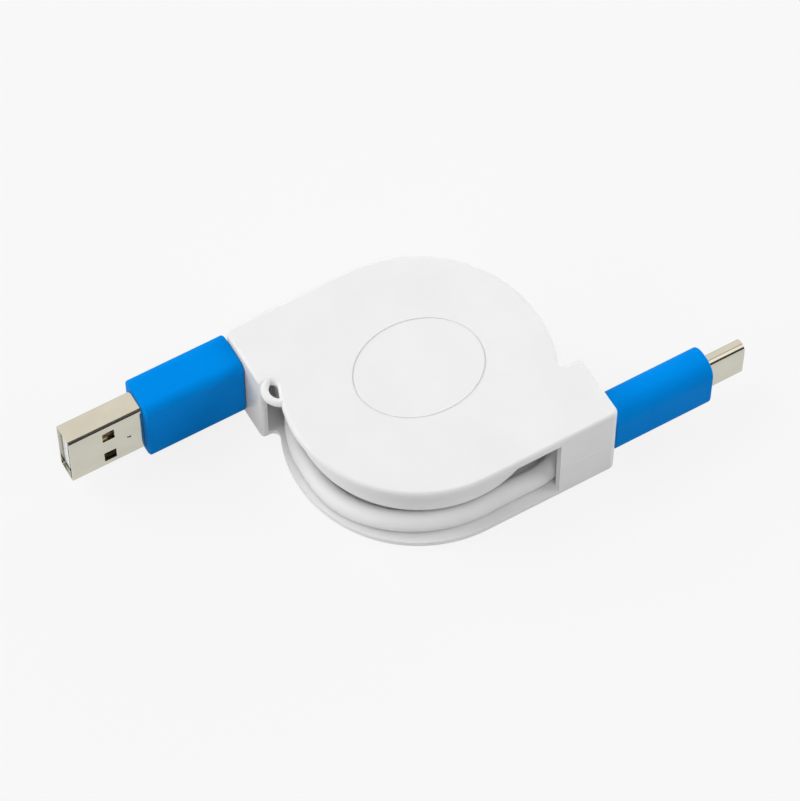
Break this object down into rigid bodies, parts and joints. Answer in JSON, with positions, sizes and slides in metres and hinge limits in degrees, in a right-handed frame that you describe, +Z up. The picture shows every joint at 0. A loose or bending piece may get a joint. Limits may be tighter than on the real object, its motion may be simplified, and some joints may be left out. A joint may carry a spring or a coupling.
{
  "type": "retractable usb cable",
  "caption": "Flat round reel with open sides that winds a white cable back in; a blue-gripped USB-A plug leaves one side and a USB-C plug the other.",
  "frame": {"origin": "on the reel's axis, at the underside of the case", "axes": "+X along both plugs, towards the USB-C plug; +Z up along the reel's axis"},
  "size_m": [0.1055, 0.0467, 0.0173],
  "materials": {
    "white_case": "satin moulded plastic",
    "reel_plastic": "plain moulded plastic",
    "spring_steel": "bright rolled strip",
    "white_cable": "smooth soft jacket",
    "blue_grip": "fine satin overmould",
    "inner_mould": "plain moulded plastic",
    "nickel_shell": "bright nickel plate",
    "white_insulator": "plain moulded plastic",
    "black_insulator": "plain moulded plastic",
    "gold_contacts": "gold plate",
    "circuit_board": "solder mask"
  },
  "bodies": {
    "case": {"bottom_cover": "white_case", "top_cover": "white_case", "cable_lead_a": "white_cable", "cable_lead_c": "white_cable"},
    "spool": {"spool": "reel_plastic", "spring_cover": "reel_plastic", "mainspring": "spring_steel", "cable_coil": "white_cable"},
    "lock_ball": {"lock_ball": "spring_steel"},
    "usb_a_plug": {"usb_a_overmould": "blue_grip", "usb_a_inner_mould": "inner_mould", "usb_a_shell": "nickel_shell", "usb_a_insulator": "white_insulator", "usb_a_contacts": "gold_contacts"},
    "usb_c_plug": {"usb_c_overmould": "blue_grip", "usb_c_inner_mould": "inner_mould", "usb_c_shell": "nickel_shell", "usb_c_insulator": "black_insulator", "usb_c_contacts": "gold_contacts", "usb_c_latch_plate": "nickel_shell", "usb_c_paddle_board": "circuit_board"}
  },
  "joints": [
    {"name": "spool_spin", "type": "hinge", "parent": "case", "child": "spool", "pos_m": [0, 0, 0], "axis": [0, 0, 1], "range_deg": [0, 1080], "stiffness_Nm_per_rad": 0.0008, "springref_deg": -286.48, "deforming": ["mainspring", "cable_coil"]},
    {"name": "usb_a_pull", "type": "slide", "parent": "case", "child": "usb_a_plug", "axis": [-1, 0, 0], "range_m": [0, 0.25165], "deforming": ["cable_lead_a"]},
    {"name": "usb_c_pull", "type": "slide", "parent": "case", "child": "usb_c_plug", "axis": [1, 0, 0], "range_m": [0, 0.25165], "deforming": ["cable_lead_c"]},
    {"name": "lock_ball_shift", "type": "slide", "parent": "case", "child": "lock_ball", "axis": [1, 0, 0], "range_m": [0, 0.0026]}
  ],
  "couplings": [
    {"joint": "usb_a_pull", "follows": "spool_spin", "m_per_rad": 0.01335},
    {"joint": "usb_c_pull", "follows": "spool_spin", "m_per_rad": 0.01335}
  ]
}
